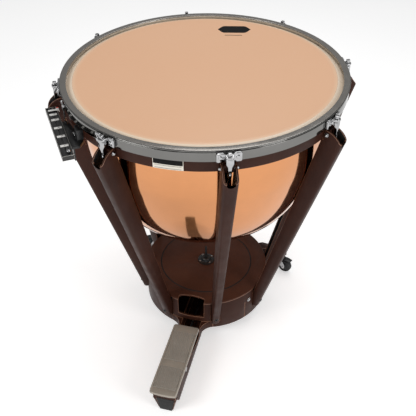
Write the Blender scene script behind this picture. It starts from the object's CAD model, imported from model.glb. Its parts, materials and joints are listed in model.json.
import bpy
import bmesh
import json
import math
from mathutils import Matrix, Vector

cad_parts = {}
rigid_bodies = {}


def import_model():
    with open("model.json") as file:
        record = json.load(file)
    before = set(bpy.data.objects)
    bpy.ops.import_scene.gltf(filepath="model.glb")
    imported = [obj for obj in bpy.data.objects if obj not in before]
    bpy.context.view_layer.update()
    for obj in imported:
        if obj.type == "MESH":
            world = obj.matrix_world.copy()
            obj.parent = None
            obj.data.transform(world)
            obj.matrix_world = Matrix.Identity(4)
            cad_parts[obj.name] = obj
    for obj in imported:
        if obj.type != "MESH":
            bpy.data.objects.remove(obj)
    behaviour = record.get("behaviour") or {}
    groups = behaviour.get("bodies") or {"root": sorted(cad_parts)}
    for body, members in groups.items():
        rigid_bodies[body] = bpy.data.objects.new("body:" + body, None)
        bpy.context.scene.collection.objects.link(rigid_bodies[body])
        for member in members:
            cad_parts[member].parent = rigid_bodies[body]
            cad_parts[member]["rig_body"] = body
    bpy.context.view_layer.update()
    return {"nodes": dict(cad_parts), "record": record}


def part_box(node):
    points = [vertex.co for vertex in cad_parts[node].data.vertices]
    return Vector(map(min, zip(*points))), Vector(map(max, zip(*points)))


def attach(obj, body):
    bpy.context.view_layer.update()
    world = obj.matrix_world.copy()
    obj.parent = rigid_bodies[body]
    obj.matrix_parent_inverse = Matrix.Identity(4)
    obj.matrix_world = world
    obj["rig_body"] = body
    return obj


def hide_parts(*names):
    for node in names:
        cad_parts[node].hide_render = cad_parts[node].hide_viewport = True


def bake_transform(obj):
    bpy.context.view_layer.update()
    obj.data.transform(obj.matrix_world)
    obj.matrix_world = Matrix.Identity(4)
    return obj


# A pedal timpani: spun copper kettle, film head with an extended collar, plated counterhoop with eight lugs,
# eight splayed channel struts on a round base, a tuning pedal, a pitch gauge and two casters.

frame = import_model()

# ------------------------------------------------------------------ places, all read from the frame
_lo, _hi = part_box("counterhoop")
AX = (_lo.x + _hi.x) / 2
AY = (_lo.y + _hi.y) / 2
TOP = _hi.z
HOOP_R = (_hi.x - _lo.x) / 2
STRUT_AZ = [22.5 + 45.0 * k for k in range(8)]


def at(az, r, z):
    """The point at azimuth az (0 is the pedal, positive towards +X), radius r and height z; r and z in millimetres."""
    a = math.radians(az)
    return Vector((AX + r * math.sin(a) / 1000.0, AY - r * math.cos(a) / 1000.0, z / 1000.0))


# ------------------------------------------------------------------ node-tree helpers
class Mat:
    def __init__(self, name):
        self.m = bpy.data.materials.new(name)
        self.m.use_nodes = True
        self.t = self.m.node_tree
        self.b = self.t.nodes["Principled BSDF"]
        self.out = self.t.nodes["Material Output"]
        self._co = None

    def set(self, **kw):
        for k, v in kw.items():
            self.b.inputs[k.replace("_", " ")].default_value = v
        return self

    def coords(self):
        if self._co is None:
            self._co = self.t.nodes.new("ShaderNodeTexCoord").outputs["Object"]
        return self._co

    def mapping(self, scale=(1, 1, 1), loc=(0, 0, 0), src=None):
        n = self.t.nodes.new("ShaderNodeMapping")
        n.inputs["Scale"].default_value = scale
        n.inputs["Location"].default_value = loc
        self.t.links.new(src or self.coords(), n.inputs["Vector"])
        return n.outputs["Vector"]

    def noise(self, scale, detail=3.0, rough=0.5, vec=None, dist=0.0):
        n = self.t.nodes.new("ShaderNodeTexNoise")
        n.inputs["Scale"].default_value = scale
        n.inputs["Detail"].default_value = detail
        n.inputs["Roughness"].default_value = rough
        n.inputs["Distortion"].default_value = dist
        self.t.links.new(vec or self.coords(), n.inputs["Vector"])
        return n.outputs["Fac"]

    def voronoi(self, scale, vec=None):
        n = self.t.nodes.new("ShaderNodeTexVoronoi")
        n.inputs["Scale"].default_value = scale
        self.t.links.new(vec or self.coords(), n.inputs["Vector"])
        return n.outputs["Distance"]

    def ramp(self, fac, stops):
        n = self.t.nodes.new("ShaderNodeValToRGB")
        e = n.color_ramp.elements
        while len(e) < len(stops):
            e.new(0.5)
        for i, (p, c) in enumerate(stops):
            e[i].position = p
            if not hasattr(c, "__len__"):
                c = (c, c, c)
            e[i].color = (*c, 1.0)
        self.t.links.new(fac, n.inputs["Fac"])
        return n.outputs["Color"]

    def rng(self, fac, a, b, lo=0.0, hi=1.0):
        n = self.t.nodes.new("ShaderNodeMapRange")
        n.inputs["From Min"].default_value = lo
        n.inputs["From Max"].default_value = hi
        n.inputs["To Min"].default_value = a
        n.inputs["To Max"].default_value = b
        self.t.links.new(fac, n.inputs["Value"])
        return n.outputs["Result"]

    def math(self, op, a, b=None):
        n = self.t.nodes.new("ShaderNodeMath")
        n.operation = op
        for i, v in enumerate((a, b)):
            if v is None:
                continue
            if isinstance(v, (int, float)):
                n.inputs[i].default_value = v
            else:
                self.t.links.new(v, n.inputs[i])
        return n.outputs[0]

    def mix(self, fac, a, b, mode="MIX"):
        n = self.t.nodes.new("ShaderNodeMix")
        n.data_type = "RGBA"
        n.blend_type = mode
        for k, v in ((0, fac), (6, a), (7, b)):
            if isinstance(v, (int, float)):
                n.inputs[k].default_value = v
            elif isinstance(v, tuple):
                n.inputs[k].default_value = (*v, 1.0)
            else:
                self.t.links.new(v, n.inputs[k])
        return n.outputs[2]

    def sep(self, vec=None):
        n = self.t.nodes.new("ShaderNodeSeparateXYZ")
        self.t.links.new(vec or self.coords(), n.inputs[0])
        return n.outputs

    def comb(self, x, y, z):
        n = self.t.nodes.new("ShaderNodeCombineXYZ")
        for i, v in enumerate((x, y, z)):
            if isinstance(v, (int, float)):
                n.inputs[i].default_value = v
            else:
                self.t.links.new(v, n.inputs[i])
        return n.outputs[0]

    def radius(self):
        """Distance from the drum's axis, in metres."""
        s = self.sep()
        dx = self.math("SUBTRACT", s[0], AX)
        dy = self.math("SUBTRACT", s[1], AY)
        return self.math("SQRT", self.math("ADD", self.math("MULTIPLY", dx, dx), self.math("MULTIPLY", dy, dy)))

    def color(self, sock):
        self.t.links.new(sock, self.b.inputs["Base Color"])
        return self

    def rough(self, sock):
        self.t.links.new(sock, self.b.inputs["Roughness"])
        return self

    def bump(self, height, strength, distance, chain=None):
        n = self.t.nodes.new("ShaderNodeBump")
        n.inputs["Strength"].default_value = strength
        n.inputs["Distance"].default_value = distance
        self.t.links.new(height, n.inputs["Height"])
        if chain is not None:
            self.t.links.new(chain, n.inputs["Normal"])
        self.t.links.new(n.outputs["Normal"], self.b.inputs["Normal"])
        return n.outputs["Normal"]


def paint(name, dark, light, speck, rough=(0.36, 0.52), coat=0.25, bump=0.10, grain=150.0, spec=0.4):
    m = Mat(name)
    m.set(Coat_Weight=coat, Coat_Roughness=0.28, Specular_IOR_Level=spec)
    big = m.noise(5.0, 4.0, 0.6)
    fine = m.noise(240.0, 2.0, 0.6)
    col = m.ramp(big, [(0.30, dark), (0.70, light)])
    flecks = m.ramp(m.noise(520.0, 1.0, 0.5), [(0.62, 0.0), (0.76, 1.0)])
    col = m.mix(m.math("MULTIPLY", flecks, 0.35), col, speck)
    dust = m.ramp(m.noise(18.0, 5.0, 0.7), [(0.52, 0.0), (0.80, 1.0)])
    col = m.mix(m.math("MULTIPLY", dust, 0.12), col, speck)
    m.color(col)
    m.rough(m.rng(m.noise(34.0, 3.0), rough[0], rough[1], 0.3, 0.7))
    n = m.bump(m.voronoi(grain), bump, 0.0009)
    m.bump(fine, bump * 0.7, 0.0004, n)
    return m.m


def metal(name, col, rough=(0.06, 0.13), smear=40.0, streak=None, bump=0.0, aniso=0.0):
    m = Mat(name)
    m.set(Metallic=1.0)
    if aniso:
        m.set(Anisotropic=aniso)
    v = m.noise(smear, 4.0, 0.6)
    shade = tuple(c * 0.86 for c in col)
    m.color(m.ramp(v, [(0.35, shade), (0.62, col)]))
    r = m.noise(smear * 2.2, 5.0, 0.65)
    m.rough(m.rng(r, rough[0], rough[1], 0.3, 0.7))
    if streak is not None:
        s = m.noise(1.0, 2.0, 0.5, vec=m.mapping(scale=streak))
        m.bump(s, bump, 0.0003)
    return m.m


FRAME_DARK, FRAME_LIGHT, FRAME_SPECK = (0.024, 0.0070, 0.0038), (0.040, 0.0125, 0.0070), (0.085, 0.036, 0.022)
M = {}
M["frame"] = paint("frame_paint", FRAME_DARK, FRAME_LIGHT, FRAME_SPECK, rough=(0.40, 0.54), coat=0.02, spec=0.13)
M["edge"] = paint("frame_paint_worn_edge", (0.15, 0.066, 0.036), (0.27, 0.128, 0.074), (0.45, 0.26, 0.17), rough=(0.28, 0.4), coat=0.1, bump=0.05)
M["base_top"] = paint("base_top_paint", (0.058, 0.0205, 0.0115), (0.080, 0.029, 0.0165), (0.14, 0.064, 0.042), rough=(0.44, 0.58), coat=0.02, spec=0.14)
M["black"] = paint("black_fitting", (0.0045, 0.0045, 0.005), (0.009, 0.009, 0.0095), (0.05, 0.05, 0.052), rough=(0.30, 0.46), coat=0.2, bump=0.05)
M["inside"] = paint("channel_inside", (0.0035, 0.0028, 0.0026), (0.008, 0.0062, 0.0056), (0.03, 0.022, 0.02), rough=(0.55, 0.7), coat=0.0)
M["chrome"] = metal("bright_chrome", (0.42, 0.42, 0.425), (0.04, 0.10))
M["steel"] = metal("oiled_steel", (0.30, 0.30, 0.31), (0.28, 0.42), smear=60.0)
M["rail"] = metal("rail_dark_anodised", (0.055, 0.054, 0.053), (0.24, 0.38), smear=60.0, streak=(60, 60, 900), bump=0.05)
M["satin"] = metal("satin_aluminium", (0.62, 0.60, 0.56), (0.26, 0.40), smear=50.0, streak=(60, 60, 900), bump=0.05)


def head_material(name, centre, rim, rough, radial):
    m = Mat(name)
    m.set(Coat_Weight=0.22, Coat_Roughness=0.22, Specular_IOR_Level=0.35, Subsurface_Weight=0.0)
    r = m.radius()
    base = m.ramp(m.rng(r, 0.0, 1.0, radial[0], radial[1]), [(0.0, centre), (0.93, centre), (1.0, rim)])
    mottle = m.noise(3.2, 5.0, 0.55)
    base = m.mix(m.rng(mottle, 0.0, 0.10, 0.35, 0.65), base, rim)
    # faint dusty touches where mallets land, near the rim
    ring = m.ramp(m.rng(r, 0.0, 1.0, 0.20, 0.34), [(0.15, 0.0), (0.55, 1.0), (0.95, 0.0)])
    touch = m.ramp(m.noise(26.0, 6.0, 0.72), [(0.58, 0.0), (0.78, 1.0)])
    base = m.mix(m.math("MULTIPLY", m.math("MULTIPLY", ring, touch), 0.10), base, (0.92, 0.84, 0.74))
    m.color(base)
    m.rough(m.rng(m.noise(70.0, 6.0, 0.7), rough[0], rough[1], 0.3, 0.7))
    m.bump(m.noise(900.0, 2.0, 0.5), 0.04, 0.0001)
    return m.m


M["head"] = head_material("head_film", (0.815, 0.478, 0.288), (0.84, 0.56, 0.37), (0.30, 0.42), (0.20, 0.3556))
M["collar"] = head_material("collar_film", (0.84, 0.68, 0.52), (0.86, 0.76, 0.63), (0.24, 0.36), (0.30, 0.40))
M["mark"] = paint("printed_mark", (0.0025, 0.0025, 0.0025), (0.004, 0.004, 0.004), (0.008, 0.008, 0.008), rough=(0.5, 0.6), coat=0.0, bump=0.02, spec=0.12)
M["mark_pale"] = paint("printed_pale", (0.62, 0.58, 0.50), (0.70, 0.66, 0.58), (0.8, 0.78, 0.7), rough=(0.4, 0.5), coat=0.0, bump=0.02)


def copper(name, tint, rough):
    m = Mat(name)
    m.set(Metallic=1.0, Coat_Weight=0.12, Coat_Roughness=0.08)
    s = m.sep()
    r = m.radius()
    # spun lines: noise that changes along the wall but not around it
    line = m.noise(1.0, 3.0, 0.6, vec=m.comb(m.math("MULTIPLY", r, 700.0), 0.0, m.math("MULTIPLY", s[2], 700.0)))
    tone = m.noise(4.0, 5.0, 0.6)
    dark = tuple(c * 0.86 for c in tint)
    col = m.ramp(tone, [(0.33, dark), (0.66, tint)])
    col = m.mix(m.rng(line, 0.0, 0.14, 0.35, 0.65), col, tuple(min(1.0, c * 1.08) for c in tint))
    m.color(col)
    m.rough(m.rng(m.noise(22.0, 5.0, 0.65), rough[0], rough[1], 0.3, 0.7))
    m.bump(line, 0.05, 0.00012)
    return m.m


M["copper"] = copper("spun_copper", (0.64, 0.282, 0.122), (0.055, 0.115))
M["copper_in"] = copper("kettle_inside", (0.62, 0.36, 0.22), (0.32, 0.5))


def hoop_material(name, col, rough, amount):
    m = Mat(name)
    m.set(Metallic=1.0)
    r = m.radius()
    s = m.sep()
    line = m.noise(1.0, 2.0, 0.6, vec=m.comb(m.math("MULTIPLY", r, 2600.0), 0.0, m.math("MULTIPLY", s[2], 2600.0)))
    v = m.noise(9.0, 5.0, 0.6)
    m.color(m.ramp(v, [(0.3, tuple(c * 0.9 for c in col)), (0.7, col)]))
    m.rough(m.rng(m.noise(30.0, 5.0, 0.65), rough[0], rough[1], 0.3, 0.7))
    m.bump(line, amount, 0.0001)
    return m.m


M["hoop_top"] = hoop_material("hoop_turned_face", (0.40, 0.38, 0.355), (0.16, 0.26), 0.08)
M["hoop_band"] = hoop_material("hoop_plated_band", (0.175, 0.172, 0.165), (0.05, 0.10), 0.02)


def rubber(name, col, speck, rough=(0.55, 0.75)):
    m = Mat(name)
    m.set(Specular_IOR_Level=0.4)
    c = m.ramp(m.noise(14.0, 5.0, 0.65), [(0.3, tuple(x * 0.8 for x in col)), (0.7, col)])
    d = m.ramp(m.noise(90.0, 4.0, 0.7), [(0.55, 0.0), (0.78, 1.0)])
    m.color(m.mix(m.math("MULTIPLY", d, 0.3), c, speck))
    m.rough(m.rng(m.noise(40.0, 3.0), rough[0], rough[1], 0.3, 0.7))
    m.bump(m.noise(800.0, 3.0, 0.6), 0.12, 0.0003)
    return m.m


M["rubber"] = rubber("moulded_rubber", (0.011, 0.0105, 0.0105), (0.05, 0.047, 0.044))
M["tyre"] = rubber("caster_tyre", (0.012, 0.012, 0.012), (0.06, 0.058, 0.055), (0.45, 0.62))
M["grip"] = rubber("pedal_grip", (0.33, 0.295, 0.25), (0.48, 0.44, 0.39), (0.5, 0.66))
M["pedal"] = paint("pedal_paint", (0.26, 0.225, 0.185), (0.34, 0.30, 0.25), (0.46, 0.42, 0.36), rough=(0.38, 0.52), coat=0.15, bump=0.09, grain=220.0)
M["pedal_edge"] = paint("pedal_worn_edge", (0.36, 0.32, 0.27), (0.46, 0.42, 0.36), (0.6, 0.56, 0.5), rough=(0.28, 0.4), bump=0.05)
M["tab"] = paint("tab_white", (0.74, 0.73, 0.69), (0.82, 0.81, 0.78), (0.9, 0.89, 0.86), rough=(0.32, 0.45), coat=0.3, bump=0.03)
M["red"] = paint("pointer_red", (0.62, 0.035, 0.02), (0.74, 0.05, 0.03), (0.8, 0.12, 0.08), rough=(0.3, 0.4), coat=0.3, bump=0.03)

# ------------------------------------------------------------------ mesh helpers
coll = bpy.context.scene.collection


def link(name, me, body, mats, replaces=()):
    ob = bpy.data.objects.new(name, me)
    coll.objects.link(ob)
    for k in mats:
        me.materials.append(M[k])
    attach(ob, body)
    if replaces:
        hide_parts(*replaces)
    return ob


def shade(me, angle=35.0):
    bm = bmesh.new()
    bm.from_mesh(me)
    bmesh.ops.recalc_face_normals(bm, faces=bm.faces)
    lim = math.radians(angle)
    for f in bm.faces:
        f.smooth = True
    for e in bm.edges:
        if len(e.link_faces) == 2:
            e.smooth = e.calc_face_angle(0.0) < lim
        else:
            e.smooth = False
    bm.to_mesh(me)
    bm.free()


def rounded(pts, radius, n=4, closed=True):
    """Rounds each corner of a polygon of (a, b) points."""
    out = []
    m = len(pts)
    for i in range(m):
        p = Vector(pts[i][:2])
        r = pts[i][2] if len(pts[i]) > 2 else radius
        if not closed and i in (0, m - 1) or r <= 0:
            out.append((p.x, p.y))
            continue
        a = Vector(pts[(i - 1) % m][:2])
        b = Vector(pts[(i + 1) % m][:2])
        u, v = (a - p), (b - p)
        k = min(r, u.length * 0.45, v.length * 0.45)
        u.normalize()
        v.normalize()
        p0, p1 = p + u * k, p + v * k
        for j in range(n + 1):
            t = j / n
            q = p0 * (1 - t) ** 2 + p * 2 * t * (1 - t) + p1 * t * t
            out.append((q.x, q.y))
    return out


def lathe(name, prof, body, mats, replaces=(), seg=224, cx=None, cy=None, pick=None, angle=35.0, span=None, unit=0.001):
    """Turns a closed (r, z) profile in millimetres about the vertical through (cx, cy); span=(a0, a1) limits the azimuth."""
    cx = AX if cx is None else cx
    cy = AY if cy is None else cy
    bm = bmesh.new()
    full = span is None
    n = seg if full else max(2, int(seg * (span[1] - span[0]) / 360.0))
    rings = []
    for i in range(n if full else n + 1):
        az = math.radians(360.0 * i / n if full else span[0] + (span[1] - span[0]) * i / n)
        sx, sy = math.sin(az), -math.cos(az)
        rings.append([bm.verts.new((cx + r * unit * sx, cy + r * unit * sy, z * unit)) for r, z in prof])
    m = len(prof)
    for i in range(n):
        a, b = rings[i], rings[(i + 1) % len(rings)]
        for j in range(m):
            k = (j + 1) % m
            try:
                f = bm.faces.new((a[j], b[j], b[k], a[k]))
            except ValueError:
                continue
            if pick is not None:
                f.material_index = pick((prof[j][0] + prof[k][0]) / 2, (prof[j][1] + prof[k][1]) / 2,
                                        prof[k][0] - prof[j][0], prof[k][1] - prof[j][1])
    if not full:
        bm.faces.new(rings[0])
        bm.faces.new(list(reversed(rings[-1])))
    bmesh.ops.remove_doubles(bm, verts=bm.verts, dist=2e-6)
    bmesh.ops.dissolve_degenerate(bm, dist=1e-7, edges=bm.edges)
    me = bpy.data.meshes.new(name)
    bm.to_mesh(me)
    bm.free()
    shade(me, angle)
    return link(name, me, body, mats, replaces)


def refine(node, mats, width=0.0006, segs=2, angle=32.0, smooth=40.0, edge=False, body=None, pick=None, clamp=False, post=None):
    """A visual copy of a CAD node with its seams welded, its edges rounded and, where asked, worn paint along them."""
    src = frame["nodes"][node]
    me = src.data.copy()
    me.name = "v_" + node
    me.materials.clear()
    bm = bmesh.new()
    bm.from_mesh(me)
    bmesh.ops.remove_doubles(bm, verts=bm.verts, dist=4e-6)
    bmesh.ops.dissolve_limit(bm, angle_limit=math.radians(0.6), verts=bm.verts, edges=bm.edges, delimit={"NORMAL"})
    bmesh.ops.recalc_face_normals(bm, faces=bm.faces)
    for f in bm.faces:
        f.material_index = pick(f) if pick is not None else 0
    if width > 0:
        lim = math.radians(angle)
        es = [e for e in bm.edges if len(e.link_faces) == 2 and e.calc_face_angle(0.0) > lim]
        if es:
            r = bmesh.ops.bevel(bm, geom=es, offset=width, offset_type="OFFSET", segments=segs, profile=0.5, affect="EDGES",
                                clamp_overlap=clamp, material=(1 if edge else -1))
    if post is not None:
        for f in bm.faces:
            k = post(f)
            if k is not None:
                f.material_index = k
    bm.to_mesh(me)
    bm.free()
    for name in ("custom_normal", "sharp_face"):
        if name in me.attributes:
            me.attributes.remove(me.attributes[name])
    shade(me, smooth)
    return link("v_" + node, me, body or BODY_OF[node], mats, (node,))


BODY_OF = {}
for b, nodes in frame["record"]["behaviour"]["bodies"].items():
    for n in nodes:
        BODY_OF[n] = b


def mesh_from(name, verts, faces, body, mats, replaces=(), angle=35.0, idx=None):
    me = bpy.data.meshes.new(name)
    me.from_pydata([tuple(v) for v in verts], [], faces)
    if idx:
        for p, i in zip(me.polygons, idx):
            p.material_index = i
    shade(me, angle)
    return link(name, me, body, mats, replaces)


# ------------------------------------------------------------------ counterhoop, flesh hoop, head
hoop_prof = rounded([(372.0, 842.0, 0.4), (372.0, 845.0, 0.9), (388.4, 845.0, 1.2), (390.0, 843.5, 0.8), (388.6, 842.0, 0.6), (386.2, 842.0, 0.5),
                     (386.0, 839.0, 0.6), (388.0, 837.8, 0.8), (388.0, 813.6, 0.6), (386.9, 813.0, 0.4), (384.2, 813.0, 0.4), (384.0, 842.0, 0.4)], 0.5, 4)
lathe("v_counterhoop", hoop_prof, "tension", ("hoop_band", "hoop_top"), ("counterhoop",), seg=320,
      pick=lambda r, z, dr, dz: 1 if z > 844.0 and r < 388.0 else 0)
lathe("v_flesh_hoop", rounded([(374.0, 831.0), (381.5, 831.0), (381.5, 842.0), (374.0, 842.0)], 1.6, 5), "tension", ("satin",), ("flesh_hoop",), seg=256)

# the film: flat over the bearing edge, then sloping down under the counterhoop to the flesh hoop
er = 355.6
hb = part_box("drum_head")
hz = hb[1].z * 1000.0
film = [(0.0, hz - 0.4), (200.0, hz - 0.4), (340.0, hz - 0.4), (er - 0.5, hz - 0.4), (er + 0.2, hz - 0.5), (er + 0.2, hz - 0.12), (er - 0.6, hz), (340.0, hz), (200.0, hz), (90.0, hz), (0.0, hz)]
lathe("v_head", film, "frame", ("head",), ("drum_head",), seg=256, angle=60.0)
cl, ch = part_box("head_collar")
n_c = 10
up, dn = [], []
for i in range(n_c + 1):
    t = i / n_c
    r = er + 0.4 + (374.0 - 0.15 - er - 0.4) * t
    # rolls over the bearing edge, then runs straight
    drop = (t ** 1.25) * 8.0
    up.append((r, hz - drop))
    dn.append((r, hz - drop - 0.35))
collar = lathe("v_head_collar", up + dn[::-1], "frame", ("collar",), (), seg=256, angle=60.0)
mw = collar.matrix_world.copy()
collar.parent = None
del collar["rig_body"]
collar.matrix_world = Matrix.Identity(4)
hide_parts("head_collar")
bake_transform(collar)

# ------------------------------------------------------------------ kettle
outer = [(355.6, 838.0), (354.6, 815.0), (353.3, 790.0), (351.2, 750.0), (347.6, 705.0), (341.9, 665.0), (334.0, 630.0),
         (323.5, 590.0), (310.4, 548.0), (294.6, 509.0), (275.2, 474.0), (252.2, 445.5), (224.4, 423.0), (189.5, 406.5),
         (141.3, 396.6), (80.0, 393.3), (12.5, 393.0)]


def catmull(pts, k=6):
    out = []
    m = len(pts)
    for i in range(m - 1):
        p0 = Vector(pts[max(i - 1, 0)])
        p1, p2 = Vector(pts[i]), Vector(pts[i + 1])
        p3 = Vector(pts[min(i + 2, m - 1)])
        for j in range(k):
            t = j / k
            q = 0.5 * ((2 * p1) + (p2 - p0) * t + (2 * p0 - 5 * p1 + 4 * p2 - p3) * t * t + (3 * p1 - p0 - 3 * p2 + p3) * t ** 3)
            out.append((q.x, q.y))
    out.append(tuple(pts[-1]))
    return out


oc = catmull(outer, 6)
ic = []
for i, p in enumerate(oc):
    a, b = Vector(oc[max(i - 1, 0)]), Vector(oc[min(i + 1, len(oc) - 1)])
    d = (b - a).normalized()
    nrm = Vector((d.y, -d.x))
    if nrm.dot(Vector(p) - Vector((0.0, 750.0))) > 0 and i < len(oc) - 20:
        nrm = -nrm
    if i >= len(oc) - 20 and nrm.y < 0:
        nrm = -nrm
    ic.append((p[0] + nrm.x * 2.0, p[1] + nrm.y * 2.0))
lip = [(354.0, 838.2), (354.1, 839.1), (354.6, 839.45), (355.3, 839.2)]
side = len(oc)
bowl_prof = oc + ic[::-1] + lip
inner_r = set(ic)


def bowl_pick(r, z, dr, dz):
    return 0


bowl = lathe("v_bowl", bowl_prof, "frame", ("copper", "copper_in"), ("bowl",), seg=256, angle=50.0)
# faces that look towards the inside take the duller finish
for p in bowl.data.polygons:
    c = p.center
    out = Vector((c.x - AX, c.y - AY, (c.z - 0.75) * 0.8))
    if p.normal.dot(out) < 0:
        p.material_index = 1
lathe("v_bowl_lip", rounded([(353.9, 812.0), (366.6, 812.0), (367.0, 813.2), (366.4, 814.2), (356.5, 814.2), (354.6, 817.5), (353.6, 817.5)], 0.6, 3),
      "frame", ("copper",), (), seg=256)

# ------------------------------------------------------------------ support ring with its eight tabs
lathe("v_ring", rounded([(373.0, 780.0, 0.5), (379.2, 780.0, 1.0), (380.0, 782.0, 1.0), (380.0, 810.6, 1.2), (378.6, 812.0, 1.2), (357.4, 812.0, 0.6), (357.4, 808.0, 0.6),
                         (375.0, 808.0, 2.0), (376.0, 806.0, 2.0), (376.0, 783.0, 0.8), (373.0, 783.0, 0.5)], 0.8, 4), "frame", ("frame",), ("support_ring",), seg=256)
for k, az in enumerate(STRUT_AZ):
    a = math.radians(az - 90.0)
    rot = Matrix.Translation((AX, AY, 0)) @ Matrix.Rotation(a, 4, "Z")
    bm = bmesh.new()
    pr = rounded([(378.6, 783.2), (394.0, 783.2), (394.0, 804.8), (378.6, 804.8)], 3.0, 4)
    lo_ = [bm.verts.new((x / 1000, -0.0134, z / 1000)) for x, z in pr]
    hi_ = [bm.verts.new((x / 1000, 0.0134, z / 1000)) for x, z in pr]
    bm.faces.new(lo_)
    bm.faces.new(hi_[::-1])
    for i in range(len(pr)):
        j = (i + 1) % len(pr)
        bm.faces.new((lo_[j], lo_[i], hi_[i], hi_[j]))
    bm.transform(rot)
    me = bpy.data.meshes.new("v_ring_tab_%d" % (k + 1))
    bm.to_mesh(me)
    bm.free()
    shade(me)
    link("v_ring_tab_%d" % (k + 1), me, "frame", ("frame",))

# ------------------------------------------------------------------ struts
for k in range(8):
    az = STRUT_AZ[k]
    outward = Vector((math.sin(math.radians(az)), -math.cos(math.radians(az)), 0))
    axis = Vector((AX, AY, 0))

    def inside(f, outward=outward, axis=axis):
        # the channel's own walls face inwards, or face each other inside the outer skin
        c = f.calc_center_median() - axis
        tang = Vector((-outward.y, outward.x, 0))
        s = c.dot(tang)
        half = (37.0 + 0.01839 * (c.z * 1000.0 - 767.0)) / 2000.0
        rad = c.dot(outward)
        web_in = (427.0 + 0.3019 * (c.z * 1000.0 - 767.0) - 5.0) / 1000.0
        n = f.normal
        if abs(s) < half - 0.0025 and rad < web_in + 0.0008:
            return 2
        return 0
    refine("strut_%d" % (k + 1), ("frame", "edge", "inside"), width=0.0008, segs=2, angle=50.0, smooth=52.0, edge=True, pick=inside)

# ------------------------------------------------------------------ base, cover, fittings
refine("base_housing", ("frame", "edge"), width=0.0009, angle=38.0, edge=True)


def cover_pick(f):
    if f.normal.z < -0.5:
        return 2
    return 0


def groove_dark(f):
    c = f.calc_center_median()
    r = math.hypot(c.x - AX, c.y - AY)
    return 2 if 0.1475 < r < 0.1525 and len(f.verts) < 60 else None


refine("base_cover", ("base_top", "edge", "inside"), width=0.0008, angle=38.0, edge=True, pick=cover_pick, post=groove_dark)
refine("guide_boss", ("black",), width=0.0008)
refine("cover_screws", ("chrome",), width=0.0005)
refine("strut_top_bolts", ("chrome",), width=0.0005, angle=50.0)
refine("strut_foot_bolts", ("black",), width=0.0006, angle=50.0)
refine("lug_brackets", ("chrome",), width=0.0009, angle=40.0)
refine("lug_clevises", ("chrome",), width=0.0010, angle=30.0)
for k in range(8):
    refine("tension_bolt_%d" % (k + 1), ("chrome",), width=0.0007, angle=50.0)
refine("tension_rods", ("chrome",), width=0.0004, angle=50.0)
refine("spider", ("black", "edge"), width=0.0008, angle=50.0)
refine("gauge_drive_rod", ("chrome",), width=0.0004, angle=50.0)
refine("pedal_axle", ("chrome",), width=0.0005, angle=50.0)
refine("bell_crank_bracket", ("black",), width=0.0006, angle=50.0)
refine("draw_rod", ("steel",), width=0.0006, angle=50.0)
refine("bell_crank", ("steel",), width=0.0006, angle=50.0)
# the spring shortens between the trough's floor and the spider
spring = refine("balance_spring", ("steel",), width=0.0, smooth=60.0)
spring.parent = None
del spring["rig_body"]
spring.matrix_world = Matrix.Identity(4)
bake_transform(spring)
refine("front_foot", ("rubber",), width=0.0018, segs=3, angle=50.0)
refine("caster_legs", ("frame", "edge"), width=0.0014, segs=2, angle=30.0, edge=True)

# ------------------------------------------------------------------ pedal
refine("pedal_plate", ("pedal", "pedal_edge"), width=0.0010, segs=2, angle=50.0, edge=True)


def ribbed(name, x0, x1, y0, y1, z0, z1, body, mats, pitch, depth, replaces=()):
    """A pad whose top is moulded in fine crosswise ribs, cut by a few lengthwise channels."""
    bm = bmesh.new()
    ny = int((y1 - y0) / pitch) * 4
    xs = [x0, x0 + 0.0012]
    cols = 12
    for i in range(1, cols):
        xc = x0 + (x1 - x0) * i / cols
        xs += [xc - 0.0009, xc - 0.0004, xc + 0.0004, xc + 0.0009]
    xs += [x1 - 0.0012, x1]
    grid = []
    for j in range(ny + 1):
        y = y0 + (y1 - y0) * j / ny
        ph = math.sin(j * math.pi / 2.0)
        row = []
        for i, x in enumerate(xs):
            edge = i in (0, len(xs) - 1) or j in (0, ny)
            chan = 0 < i < len(xs) - 1 and (i - 2) % 4 in (1, 2) and 1 < i < len(xs) - 2
            if edge:
                z = z1 - depth * 1.3
            elif chan:
                z = z1 - depth
            else:
                z = z1 - depth * (0.5 - 0.5 * ph)
            row.append(bm.verts.new((x, y, z)))
        grid.append(row)
    for j in range(ny):
        for i in range(len(xs) - 1):
            bm.faces.new((grid[j][i], grid[j][i + 1], grid[j + 1][i + 1], grid[j + 1][i]))
    rim = [e for e in bm.edges if len(e.link_faces) == 1]
    r = bmesh.ops.extrude_edge_only(bm, edges=rim)
    low = [v for v in r["geom"] if isinstance(v, bmesh.types.BMVert)]
    for v in low:
        v.co.z = z0
    bmesh.ops.contextual_create(bm, geom=[e for e in bm.edges if len(e.link_faces) == 1])
    me = bpy.data.meshes.new(name)
    bm.to_mesh(me)
    bm.free()
    shade(me, 60.0)
    return link(name, me, body, mats, replaces)


pl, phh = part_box("pedal_pads")
yo = AY * 1000.0
ribbed("v_pad_toe", -0.0336, 0.0336, (yo - 385.6) / 1000, (yo - 275.4) / 1000, pl.z + 0.0002, phh.z + 0.0002, "pedal", ("grip",), 0.0034, 0.0008, ("pedal_pads",))
ribbed("v_pad_heel", -0.0336, 0.0336, (yo - 489.6) / 1000, (yo - 411.4) / 1000, pl.z + 0.0002, phh.z + 0.0002, "pedal", ("grip",), 0.0034, 0.0008, ())

# ------------------------------------------------------------------ gauge
GA = math.radians(-55.7 - 90.0)
G = Matrix.Translation((AX, AY, 0)) @ Matrix.Rotation(GA, 4, "Z")


def gpick_rail(f):
    return 0


refine("gauge_rail", ("rail", "satin"), width=0.0004, angle=50.0, edge=True)
refine("gauge_scale", ("black",), width=0.0003, angle=50.0)
refine("gauge_bracket", ("black",), width=0.0010, angle=40.0)
refine("gauge_screws", ("chrome",), width=0.0006, angle=50.0)


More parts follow.
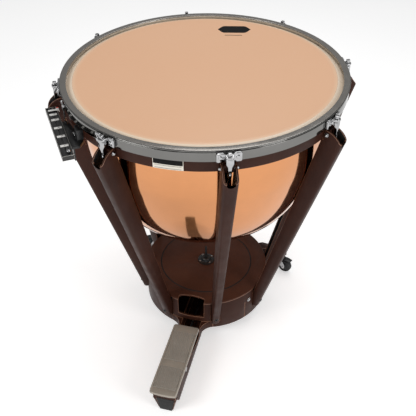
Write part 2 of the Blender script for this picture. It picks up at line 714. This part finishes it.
def tab_mesh(name, cx, cy, lx, ly, z0, z1, body, mats, replaces=(), r=1.2, pickx=None):
    pts = rounded([(cx - lx / 2, cy - ly / 2), (cx + lx / 2, cy - ly / 2), (cx + lx / 2, cy + ly / 2), (cx - lx / 2, cy + ly / 2)], r, 4)
    bm = bmesh.new()
    inset = 0.25
    lo_ = [bm.verts.new(G @ Vector((x / 1000, y / 1000, z0 / 1000))) for x, y in pts]
    mid = [bm.verts.new(G @ Vector((x / 1000, y / 1000, (z1 - inset) / 1000))) for x, y in pts]
    sx, sy = (lx - 2 * inset) / lx, (ly - 2 * inset) / ly
    hi_ = [bm.verts.new(G @ Vector(((cx + (x - cx) * sx) / 1000, (cy + (y - cy) * sy) / 1000, z1 / 1000))) for x, y in pts]
    n = len(pts)
    bm.faces.new(lo_[::-1])
    bm.faces.new(hi_)
    for a, b in ((lo_, mid), (mid, hi_)):
        for i in range(n):
            j = (i + 1) % n
            bm.faces.new((a[i], a[j], b[j], b[i]))
    me = bpy.data.meshes.new(name)
    bm.to_mesh(me)
    bm.free()
    shade(me, 50.0)
    return link(name, me, body, mats, replaces)


def letter(name, text, cx, cy, z, size, body, turn=0.0, mat="mark"):
    cu = bpy.data.curves.new(name, "FONT")
    cu.body = text
    cu.size = size
    cu.extrude = 0.00012
    cu.align_x = "CENTER"
    cu.align_y = "CENTER"
    tmp = bpy.data.objects.new(name + "_t", cu)
    coll.objects.link(tmp)
    bpy.context.view_layer.update()
    dg = bpy.context.evaluated_depsgraph_get()
    me = bpy.data.meshes.new_from_object(tmp.evaluated_get(dg))
    bpy.data.objects.remove(tmp)
    me.name = name
    me.materials.clear()
    me.transform(G @ Matrix.Translation((cx / 1000, cy / 1000, z / 1000)) @ Matrix.Rotation(math.radians(turn), 4, "Z"))
    return link(name, me, body, (mat,))


mk_z0, mk_z1 = 779.85, 781.5
for i, (y, text) in enumerate(zip((-26.0, 2.0, 44.0, 87.0, 132.0), ("F", "G", "A", "B", "C"))):
    nd = "note_marker_%d" % (i + 1)
    tab_mesh("v_" + nd, 415.25, y, 20.5, 8.4, mk_z0, mk_z1, nd, ("tab",), (nd,))
    tab_mesh("v_%s_rib" % nd, 415.5, y, 2.2, 6.2, mk_z0 - 2.6, mk_z0 + 0.2, nd, ("tab",), (), r=0.4)
    letter("v_%s_letter" % nd, text, 413.6, y, mk_z1 + 0.02, 0.0078, nd, turn=98.0)
    tab_mesh("v_%s_grip_a" % nd, 422.2, y, 1.0, 6.0, mk_z1 - 0.2, mk_z1 + 0.35, nd, ("tab",), (), r=0.3)
refine("gauge_pointer", ("tab",), width=0.0003, angle=50.0)
tab_mesh("v_pointer_tip", 399.6, -52.9, 6.6, 5.6, 783.3, 784.2, "pointer", ("red",), (), r=1.0)
# knurled knob
kb_lo, kb_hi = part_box("gauge_knob")
kcx, kcy = (kb_lo.x + kb_hi.x) / 2, (kb_lo.y + kb_hi.y) / 2
kr = (kb_hi.x - kb_lo.x) / 2 * 1000.0
bm = bmesh.new()
N = 60
prof = [(0.0, -1.0), (2.0, -1.0), (2.0, 0.9), (4.4, 0.9), (kr - 0.5, 1.6), (kr, 2.3), (kr, 6.4), (kr - 0.5, 7.1), (4.4, 7.8), (2.4, 8.9), (0.0, 9.0)]
rings = []
for i in range(N):
    a = 2 * math.pi * i / N
    row = []
    for j, (r, z) in enumerate(prof):
        rr = r - (0.35 if (i % 2 and 4 < j < 7) else 0.0)
        row.append(bm.verts.new((kcx + rr / 1000 * math.cos(a), kcy + rr / 1000 * math.sin(a), kb_hi.z - 0.009 + z / 1000)))
    rings.append(row)
for i in range(N):
    a, b = rings[i], rings[(i + 1) % N]
    for j in range(len(prof) - 1):
        bm.faces.new((a[j], b[j], b[j + 1], a[j + 1]))
bmesh.ops.remove_doubles(bm, verts=bm.verts, dist=1e-6)
bmesh.ops.dissolve_degenerate(bm, dist=1e-7, edges=bm.edges)
me = bpy.data.meshes.new("v_gauge_knob")
bm.to_mesh(me)
bm.free()
shade(me, 40.0)
link("v_gauge_knob", me, "gauge_knob", ("chrome",), ("gauge_knob",))

# ------------------------------------------------------------------ plain badge plate on the ring, with a border and blank bars
np_lo, np_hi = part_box("name_plate")
PLC = 1.3
lathe("v_name_plate", rounded([(380.05, 781.7), (381.2, 781.7), (381.2, 810.3), (380.05, 810.3)], 0.4, 3), "frame", ("mark_pale",), ("name_plate",), seg=720, span=(PLC - 5.6, PLC + 5.6))
lathe("v_plate_upper", [(381.15, 795.2), (381.45, 795.2), (381.45, 809.4), (381.15, 809.4)], "frame", ("mark",), (), seg=720, span=(PLC - 5.4, PLC + 5.4))
lathe("v_plate_rule_low", [(381.15, 784.2), (381.35, 784.2), (381.35, 785.0), (381.15, 785.0)], "frame", ("mark",), (), seg=720, span=(PLC - 4.9, PLC + 4.9))
lathe("v_plate_rule_high", [(381.15, 791.6), (381.35, 791.6), (381.35, 792.4), (381.15, 792.4)], "frame", ("mark",), (), seg=720, span=(PLC - 4.9, PLC + 4.9))

# ------------------------------------------------------------------ blank printed mark on the head: a lozenge over a thin bar
def flat_poly(name, pts, cx, cy, turn, z, body, mat, thick=0.06):
    """A thin printed patch on the film: a polygon in millimetres about (cx, cy) from the drum's axis."""
    ct_, st_ = math.cos(math.radians(turn)), math.sin(math.radians(turn))
    verts = []
    for zz in (z, z + thick):
        for x, y in pts:
            verts.append((AX + (cx + x * ct_ - y * st_) / 1000.0, AY + (cy + x * st_ + y * ct_) / 1000.0, zz / 1000.0))
    n = len(pts)
    faces = [tuple(range(n - 1, -1, -1)), tuple(range(n, 2 * n))]
    faces += [(k, (k + 1) % n, n + (k + 1) % n, n + k) for k in range(n)]
    return mesh_from(name, verts, faces, body, (mat,))


lozenge = rounded([(-50.0, 0.0, 3.0), (-34.0, -24.0, 7.0), (34.0, -24.0, 7.0), (50.0, 0.0, 3.0), (34.0, 24.0, 7.0), (-34.0, 24.0, 7.0)], 4.0, 5)
flat_poly("v_head_mark", lozenge, 19.0, 288.0, 12.0, hz + 0.02, "frame", "mark")
flat_poly("v_head_mark_bar", rounded([(-26.0, -1.6), (26.0, -1.6), (26.0, 1.6), (-26.0, 1.6)], 1.0, 3), 25.5, 247.0, 12.0, hz + 0.02, "frame", "mark")

# ------------------------------------------------------------------ casters
for side in ("right", "left"):
    refine("caster_fork_" + side, ("chrome",), width=0.0007, angle=50.0)
    refine("caster_wheel_" + side, ("tyre",), width=0.0006, angle=30.0)
    refine("caster_brake_" + side, ("black",), width=0.0007, angle=40.0)

# every CAD node still showing gets a full material too
PLAIN = {"bowl": "copper"}
for name, ob in frame["nodes"].items():
    if not ob.hide_render:
        key = PLAIN.get(name, "frame")
        ob.data.materials.clear()
        ob.data.materials.append(M[key])

# ------------------------------------------------------------------ stage, light, camera
fl = bpy.data.meshes.new("floor")
fl.from_pydata([(-9, -9, -0.0006), (9, -9, -0.0006), (9, 9, -0.0006), (-9, 9, -0.0006)], [], [(0, 1, 2, 3)])
floor = bpy.data.objects.new("floor", fl)
coll.objects.link(floor)
fm = Mat("floor_pale")
fm.set(Roughness=0.9, Specular_IOR_Level=0.1)
fm.color(fm.ramp(fm.noise(0.8, 3.0), [(0.3, (0.90, 0.90, 0.90)), (0.7, (0.93, 0.93, 0.93))]))
fm.set(Emission_Color=(1.0, 1.0, 1.0, 1.0), Emission_Strength=0.42)
fl.materials.append(fm.m)

world = bpy.data.worlds.new("studio")
bpy.context.scene.world = world
world.use_nodes = True
world.node_tree.nodes["Background"].inputs["Color"].default_value = (1.0, 1.0, 1.0, 1.0)
world.node_tree.nodes["Background"].inputs["Strength"].default_value = 0.34


def area(name, loc, target, sx, sy, power, color=(1, 1, 1)):
    li = bpy.data.lights.new(name, "AREA")
    li.shape = "RECTANGLE"
    li.size, li.size_y = sx, sy
    li.energy = power
    li.color = color
    ob = bpy.data.objects.new(name, li)
    coll.objects.link(ob)
    ob.location = loc
    d = Vector(target) - Vector(loc)
    ob.rotation_mode = "QUATERNION"
    ob.rotation_quaternion = d.to_track_quat("-Z", "Y")
    return ob


area("key", (-1.9, -2.3, 2.5), (0, 0, 0.45), 1.5, 1.5, 40.0)
area("right", (2.6, -1.3, 1.5), (0, 0, 0.45), 1.0, 1.8, 27.0)
area("top", (0.3, 1.1, 3.0), (0, 0.1, 0.8), 2.4, 1.6, 27.0)
area("front_low", (0.6, -3.2, 0.9), (0, 0, 0.4), 1.6, 0.9, 15.0)

sc = bpy.context.scene
sc.view_settings.view_transform = "Standard"
sc.view_settings.look = "None"

cam = bpy.data.cameras.new("camera")
cam.sensor_width = 36.0
cam.lens = 57.41
cam.shift_x = 0.0192
cob = bpy.data.objects.new("camera", cam)
coll.objects.link(cob)
cob.location = (AX + 0.4094, AY - 1.5788, 1.6806)
cob.rotation_mode = "XYZ"
cob.rotation_euler = (Matrix.Rotation(0.26469, 4, "Z") @ Matrix.Rotation(math.pi / 2 - 0.67794, 4, "X") @ Matrix.Rotation(-0.01483, 4, "Z")).to_euler()
sc.camera = cob
